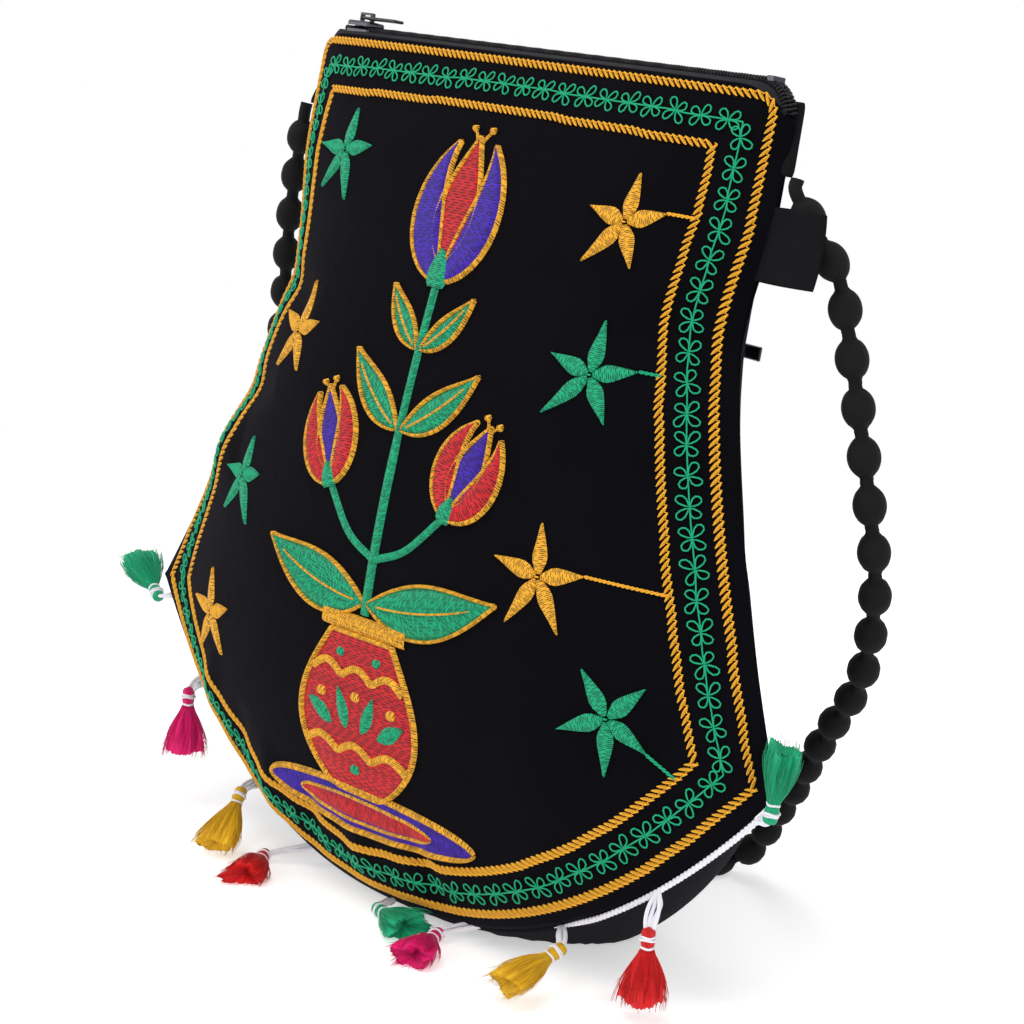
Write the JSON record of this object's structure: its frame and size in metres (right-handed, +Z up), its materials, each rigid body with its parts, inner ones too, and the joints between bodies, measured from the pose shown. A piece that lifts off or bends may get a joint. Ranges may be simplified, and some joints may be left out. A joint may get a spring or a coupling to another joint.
{
  "type": "shoulder bag",
  "caption": "Stuffed velvet shoulder bag with an embroidered front, top zip, back zip pocket, beaded cloth strap and a row of tassels along the bottom seam.",
  "frame": {"origin": "middle of the flat of the base, where the bag stands on the floor", "axes": "+Z up, the embroidered front faces -Y, +X to the right seen from the front; the bag leans back by 13.5 degrees"},
  "size_m": [0.3366, 0.2123, 0.2811],
  "materials": {
    "velvet": "cotton velvet, matt",
    "lining": "plain woven lining",
    "zip_tape": "woven tape",
    "zip_coil": "nylon coil",
    "zip_metal": "gunmetal, satin",
    "strap_cloth": "woven cloth over beads",
    "label": "woven satin, ribbed",
    "white_yarn": "twisted cotton yarn",
    "gold_thread": "satin stitch",
    "green_thread": "satin stitch",
    "red_thread": "satin stitch",
    "purple_thread": "satin stitch",
    "green_floss": "embroidery floss",
    "pink_floss": "embroidery floss",
    "yellow_floss": "embroidery floss",
    "red_floss": "embroidery floss"
  },
  "bodies": {
    "bag": {"front_panel": "velvet", "back_panel": "velvet", "front_lining": "lining", "back_lining": "lining", "pocket_bag": "lining", "top_zip_front_tape": "zip_tape", "top_zip_back_tape": "zip_tape", "pocket_zip_upper_tape": "zip_tape", "pocket_zip_lower_tape": "zip_tape", "top_zip_front_coil": "zip_coil", "top_zip_back_coil": "zip_coil", "pocket_zip_upper_coil": "zip_coil", "pocket_zip_lower_coil": "zip_coil", "top_zip_end_stop": "zip_metal", "pocket_zip_end_stop": "zip_metal", "strap_cord": "strap_cloth", "strap_tab_left": "strap_cloth", "strap_tab_right": "strap_cloth", "side_label": "label", "seam_braid": "white_yarn", "yarn_loop_1": "white_yarn", "yarn_loop_2": "white_yarn", "yarn_loop_3": "white_yarn", "yarn_loop_4": "white_yarn", "yarn_loop_5": "white_yarn", "yarn_loop_6": "white_yarn", "yarn_loop_7": "white_yarn", "yarn_loop_8": "white_yarn", "yarn_loop_9": "white_yarn", "tassel_1_green": "green_floss", "tassel_2_pink": "pink_floss", "tassel_3_yellow": "yellow_floss", "tassel_4_red": "red_floss", "tassel_5_green": "green_floss", "tassel_6_pink": "pink_floss", "tassel_7_yellow": "yellow_floss", "tassel_8_red": "red_floss", "tassel_9_green": "green_floss", "outer_gold_line": "gold_thread", "inner_gold_line": "gold_thread", "star_left_2": "gold_thread", "star_left_4": "gold_thread", "star_right_1": "gold_thread", "star_right_3": "gold_thread", "motif_vase_rim": "gold_thread", "flower_chain": "green_thread", "star_left_1": "green_thread", "star_left_3": "green_thread", "star_right_2": "green_thread", "star_right_4": "green_thread", "motif_stem": "green_thread", "motif_vase": "red_thread", "motif_left_tulip": "red_thread", "motif_right_tulip": "red_thread", "motif_mat": "purple_thread", "motif_top_tulip": "purple_thread"},
    "top_slider": {"top_zip_slider": "zip_metal"},
    "top_pull": {"top_zip_pull": "zip_metal"},
    "pocket_slider": {"pocket_zip_slider": "zip_metal"},
    "pocket_pull": {"pocket_zip_pull": "zip_metal"}
  },
  "joints": [
    {"name": "top_zip_slide", "type": "slide", "parent": "bag", "child": "top_slider", "axis": [1, 0, 0], "range_m": [0, 0.176]},
    {"name": "top_pull_swing", "type": "hinge", "parent": "top_slider", "child": "top_pull", "pos_m": [-0.091, 0.0403, 0.27915], "axis": [0, -0.9724, 0.2334], "range_deg": [0, 176]},
    {"name": "pocket_zip_slide", "type": "hinge", "parent": "bag", "child": "pocket_slider", "pos_m": [0, -0.16212, 0.24136], "axis": [0, 0.2334, 0.9724], "range_deg": [0, 44.39]},
    {"name": "pocket_pull_swing", "type": "hinge", "parent": "pocket_slider", "child": "pocket_pull", "pos_m": [0.08687, 0.0397, 0.19291], "axis": [0, 0.2334, 0.9724], "range_deg": [0, 176]}
  ]
}
